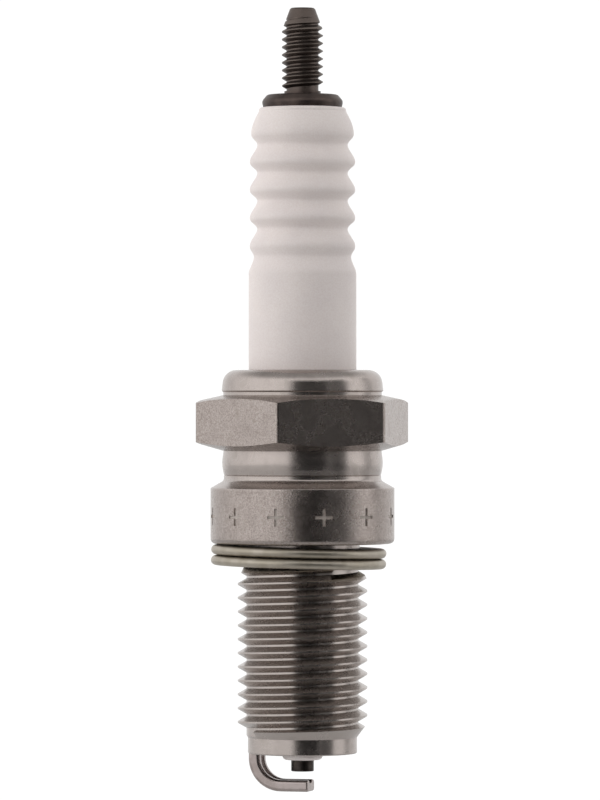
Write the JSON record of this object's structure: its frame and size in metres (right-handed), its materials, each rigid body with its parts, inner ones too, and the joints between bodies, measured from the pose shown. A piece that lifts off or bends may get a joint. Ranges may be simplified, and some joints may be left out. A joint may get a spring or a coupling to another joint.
{
  "type": "spark plug",
  "caption": "Long-reach spark plug with a threaded terminal stud, ribbed white insulator, crimped hexagon shell, fine engine thread, folded gasket and a hooked ground electrode.",
  "frame": {"origin": "centre of the shell's gasket seat, on the plug's axis", "axes": "+Z along the axis towards the terminal; -Y is the front; the engine thread and both electrodes are below zero"},
  "size_m": [0.0192, 0.0196, 0.071],
  "materials": {
    "nickel_plated_steel": "dull nickel plate over cold-forged and turned steel",
    "alumina": "fired alumina, ground and thinly glazed, satin",
    "blackened_steel": "oil-blackened steel, satin",
    "conductive_glass": "copper-filled glass, fused",
    "carbon_glass_resistor": "carbon and glass mix, hot pressed",
    "nickel_alloy": "extruded nickel alloy, darkened",
    "copper": "extruded copper",
    "packing_steel": "soft steel, plain",
    "talc": "pressed mineral powder, matte",
    "strap_nickel_alloy": "drawn nickel alloy strip, satin",
    "gasket_steel": "zinc-plated steel strip, folded"
  },
  "bodies": {
    "plug": {"metal_shell": "nickel_plated_steel", "insulator": "alumina", "terminal_stud": "blackened_steel", "upper_glass_seal": "conductive_glass", "resistor": "carbon_glass_resistor", "lower_glass_seal": "conductive_glass", "centre_electrode": "nickel_alloy", "centre_electrode_core": "copper", "seat_packing": "packing_steel", "lower_packing_ring": "packing_steel", "talc_filling": "talc", "upper_packing_ring": "packing_steel", "ground_electrode": "strap_nickel_alloy"},
    "gasket_ring": {"gasket": "gasket_steel"}
  },
  "joints": [
    {"name": "gasket_rock", "type": "hinge", "parent": "plug", "child": "gasket_ring", "pos_m": [-0.00783, 0, -0.00008], "axis": [0, -1, 0], "range_deg": [0, 1.5]}
  ]
}
